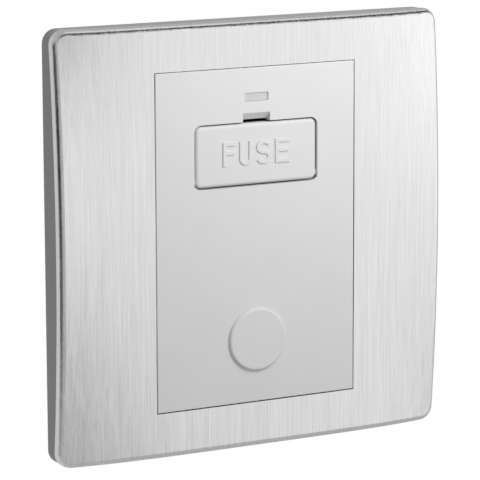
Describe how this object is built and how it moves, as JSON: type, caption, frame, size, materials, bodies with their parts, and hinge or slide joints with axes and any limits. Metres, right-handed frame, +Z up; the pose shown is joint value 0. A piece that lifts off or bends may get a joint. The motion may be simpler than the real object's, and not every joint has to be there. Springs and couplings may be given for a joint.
{
  "type": "fused connection unit",
  "caption": "Square wall unit for one fused circuit: metal plate, white front with hinged fuse carrier, indicator and capped flex outlet, terminal housing behind.",
  "frame": {"origin": "midway between the two box screws, on the wall plane behind the support frame", "axes": "+Z up, +X to the right seen from the room, +Y into the wall"},
  "size_m": [0.086, 0.0374, 0.086],
  "materials": {
    "brushed_plate": "brushed up and down, satin",
    "grey_moulding": "satin grey moulding",
    "zinc_plated_steel": "bright zinc plate",
    "white_moulding": "smooth moulded, low gloss",
    "lens_moulding": "clear frosted moulding",
    "lamp_glass": "clear glass envelope",
    "circuit_board": "laminated paper board",
    "resistor_coat": "lacquered",
    "lead_insulation": "sleeved wire",
    "fuse_ceramic": "unglazed ceramic",
    "nickel_plated_brass": "nickel plate",
    "contact_brass": "rolled strip",
    "terminal_brass": "machined",
    "screw_steel": "zinc plated",
    "rear_moulding": "matt white moulding"
  },
  "bodies": {
    "unit": {"face_plate": "brushed_plate", "trim_frame": "grey_moulding", "support_frame": "zinc_plated_steel", "front_panel": "white_moulding", "indicator_lens": "lens_moulding", "indicator_lamp": "lamp_glass", "indicator_board": "circuit_board", "indicator_resistor": "resistor_coat", "indicator_leads": "lead_insulation", "fuse_contact_line": "contact_brass", "fuse_contact_load": "contact_brass", "neutral_strap": "contact_brass", "earth_strap": "contact_brass", "load_terminal": "terminal_brass", "line_terminal": "terminal_brass", "neutral_load_terminal": "terminal_brass", "neutral_supply_terminal": "terminal_brass", "earth_supply_terminal": "terminal_brass", "earth_load_terminal": "terminal_brass", "terminal_screws": "screw_steel", "rear_housing": "rear_moulding", "housing_screws": "screw_steel", "outlet_cap": "white_moulding", "cord_grip_bar": "rear_moulding", "cord_grip_screws": "screw_steel"},
    "carrier": {"fuse_carrier": "white_moulding", "fuse_tube": "fuse_ceramic", "fuse_cap_left": "nickel_plated_brass", "fuse_cap_right": "nickel_plated_brass"}
  },
  "joints": [
    {"name": "fuse_carrier", "type": "hinge", "parent": "unit", "child": "carrier", "pos_m": [0, -0.006, 0.01165], "axis": [1, 0, 0], "range_deg": [0, 85]}
  ]
}
